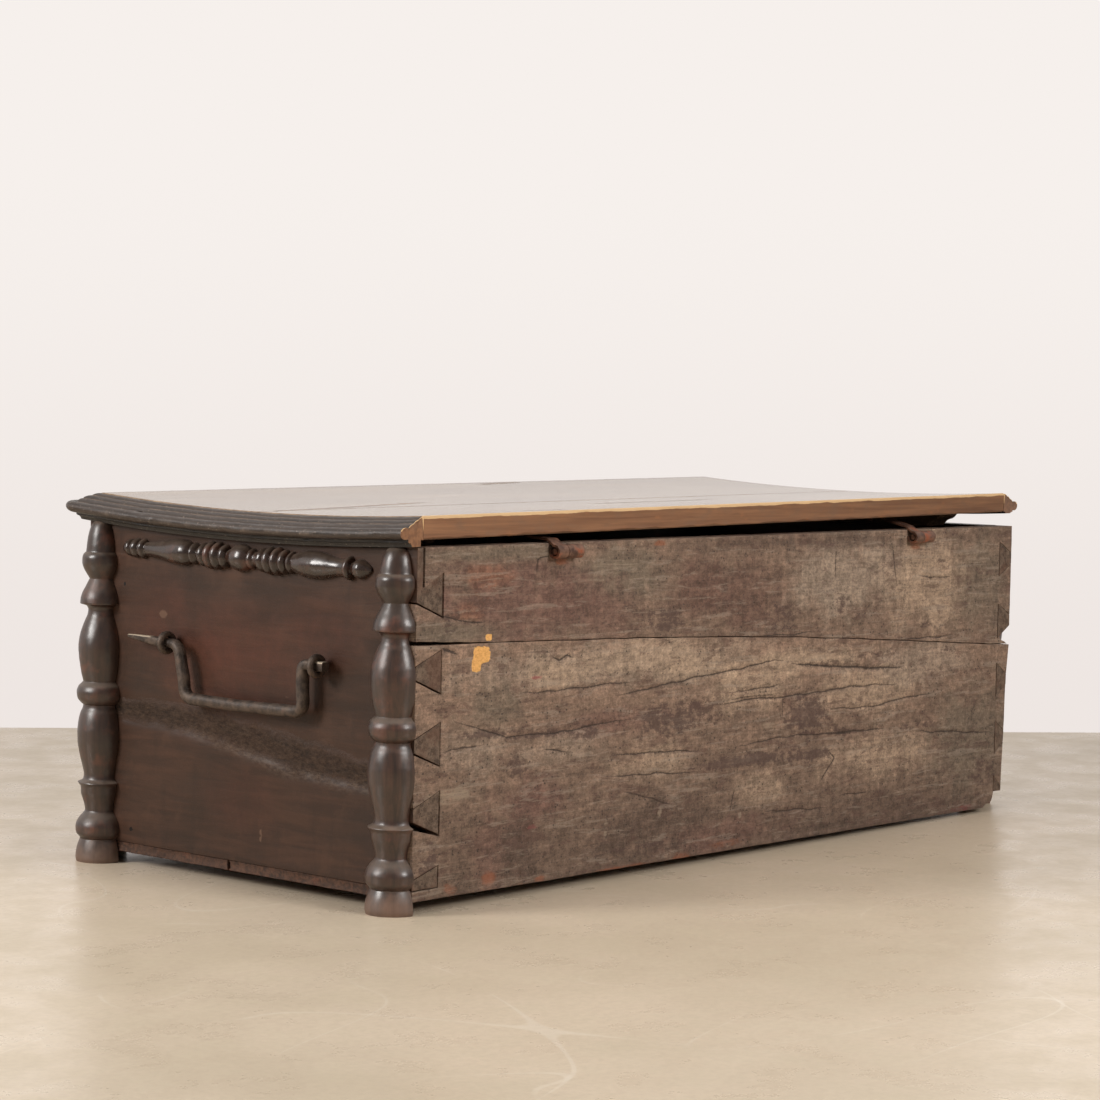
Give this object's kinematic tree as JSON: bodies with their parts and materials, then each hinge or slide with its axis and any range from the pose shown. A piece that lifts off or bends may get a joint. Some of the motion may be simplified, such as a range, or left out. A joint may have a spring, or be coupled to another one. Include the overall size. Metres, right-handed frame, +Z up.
{
  "type": "walnut chest",
  "caption": "Low dovetailed walnut chest with a moulded hinged lid, half-round balusters and spindles, iron bail handles and an inside lock.",
  "frame": {"origin": "centre of the outer box, on the floor", "axes": "+X along the chest towards its right end, -Y out of the front, +Z up"},
  "size_m": [1.4306, 0.6536, 0.5045],
  "materials": {
    "walnut": "worn satin polish, dark red-brown",
    "turned_walnut": "polished, dark red-brown",
    "raw_wood": "bare, weathered grey-brown",
    "lid_walnut": "worn, faded brown",
    "iron": "forged, dark, worn bright on the edges",
    "rusty_iron": "forged, rusted"
  },
  "bodies": {
    "carcass": {"back_board_lower": "raw_wood", "back_board_upper": "raw_wood", "bail_left_eye_back": "iron", "bail_left_eye_front": "iron", "bail_right_eye_back": "iron", "bail_right_eye_front": "iron", "baluster_front_1": "turned_walnut", "baluster_front_2": "turned_walnut", "baluster_front_3": "turned_walnut", "baluster_front_4": "turned_walnut", "baluster_left_back": "turned_walnut", "baluster_left_front": "turned_walnut", "baluster_right_back": "turned_walnut", "baluster_right_front": "turned_walnut", "bottom_board_back": "raw_wood", "bottom_board_front": "raw_wood", "end_board_left": "walnut", "end_board_right": "walnut", "front_board": "walnut", "hinge_left_back_nail_1": "rusty_iron", "hinge_left_back_nail_2": "rusty_iron", "hinge_left_back_strap": "rusty_iron", "hinge_left_pin": "rusty_iron", "hinge_right_back_nail_1": "rusty_iron", "hinge_right_back_nail_2": "rusty_iron", "hinge_right_back_strap": "rusty_iron", "hinge_right_pin": "rusty_iron", "lock_case": "iron", "lock_plate": "iron", "lock_plate_nail_1": "iron", "lock_plate_nail_2": "iron", "lock_plate_nail_3": "iron", "lock_plate_nail_4": "iron", "spindle_front_1": "turned_walnut", "spindle_front_2": "turned_walnut", "spindle_front_3": "turned_walnut", "spindle_left": "turned_walnut", "spindle_right": "turned_walnut"},
    "lid": {"hinge_left_lid_nail_1": "rusty_iron", "hinge_left_lid_nail_2": "rusty_iron", "hinge_left_lid_nail_3": "rusty_iron", "hinge_left_lid_strap": "rusty_iron", "hinge_right_lid_nail_1": "rusty_iron", "hinge_right_lid_nail_2": "rusty_iron", "hinge_right_lid_nail_3": "rusty_iron", "hinge_right_lid_strap": "rusty_iron", "lid_batten_left": "raw_wood", "lid_batten_right": "raw_wood", "lid_board_back": "lid_walnut", "lid_board_front": "lid_walnut", "lid_moulding_front": "walnut", "lid_moulding_left": "walnut", "lid_moulding_right": "walnut", "lid_staple": "iron"},
    "bail_right": {"bail_right": "iron"},
    "bail_left": {"bail_left": "iron"},
    "lock_bolt": {"lock_bolt": "iron"}
  },
  "joints": [
    {"name": "lid_hinge", "type": "hinge", "parent": "carcass", "child": "lid", "pos_m": [0, 0.3178, 0.4345], "axis": [-1, 0, 0], "range_deg": [0, 100]},
    {"name": "bail_right_swing", "type": "hinge", "parent": "carcass", "child": "bail_right", "pos_m": [0.698, -0.1165, 0.3023], "axis": [0, -0.9994, 0.0356], "range_deg": [-8, 186]},
    {"name": "bail_left_swing", "type": "hinge", "parent": "carcass", "child": "bail_left", "pos_m": [-0.698, -0.1165, 0.3023], "axis": [0, 0.9994, -0.0356], "range_deg": [-8, 186]},
    {"name": "lock_bolt_slide", "type": "slide", "parent": "carcass", "child": "lock_bolt", "axis": [1, 0, 0], "range_m": [0, 0.022]}
  ]
}
